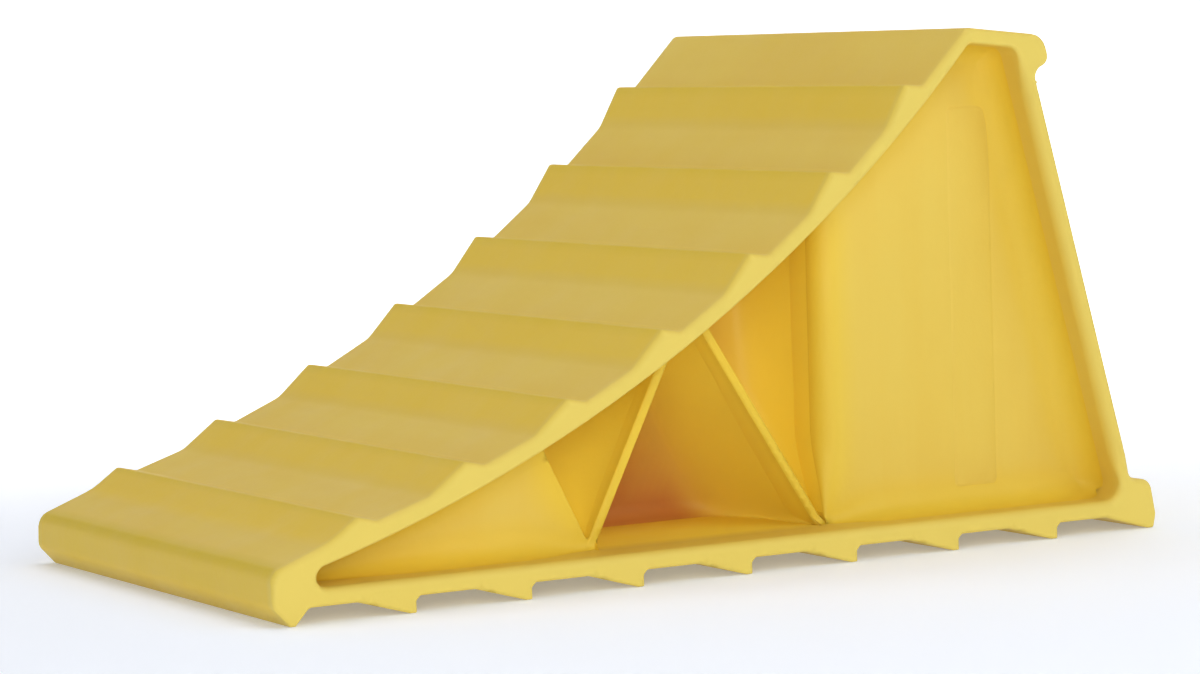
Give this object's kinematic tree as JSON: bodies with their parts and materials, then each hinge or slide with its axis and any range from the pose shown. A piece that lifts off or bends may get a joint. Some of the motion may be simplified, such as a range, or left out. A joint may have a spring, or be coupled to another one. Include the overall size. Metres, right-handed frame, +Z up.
{
  "type": "wheel chock",
  "caption": "Moulded yellow wedge chock for truck wheels, with a curved scalloped ramp, recessed ribbed sides and toothed base.",
  "frame": {"origin": "middle of the footprint, at the height of the cleat tips that rest on the ground", "axes": "+X runs from the toe to the heel, +Y runs across the chock, +Z points up"},
  "size_m": [0.354, 0.203, 0.1837],
  "materials": {
    "yellow_urethane": "satin moulded urethane",
    "yellow_plate": "fine matt moulded urethane"
  },
  "bodies": {
    "root": {"nose_block": "yellow_urethane", "tread_1": "yellow_urethane", "tread_2": "yellow_urethane", "tread_3": "yellow_urethane", "tread_4": "yellow_urethane", "tread_5": "yellow_urethane", "tread_6": "yellow_urethane", "tread_7": "yellow_urethane", "tread_8": "yellow_urethane", "top_plate": "yellow_urethane", "top_lip": "yellow_urethane", "rear_wall": "yellow_urethane", "heel_lip": "yellow_urethane", "base_plate": "yellow_urethane", "cleat_1": "yellow_urethane", "cleat_2": "yellow_urethane", "cleat_3": "yellow_urethane", "cleat_4": "yellow_urethane", "cleat_5": "yellow_urethane", "cleat_6": "yellow_urethane", "cleat_7": "yellow_urethane", "nose_web": "yellow_urethane", "front_rib": "yellow_urethane", "rear_rib": "yellow_urethane", "heel_block": "yellow_urethane", "front_pocket_web": "yellow_urethane", "middle_pocket_web": "yellow_urethane", "rear_pocket_web": "yellow_urethane", "blank_plate_near": "yellow_plate", "blank_plate_far": "yellow_plate"}
  },
  "joints": []
}
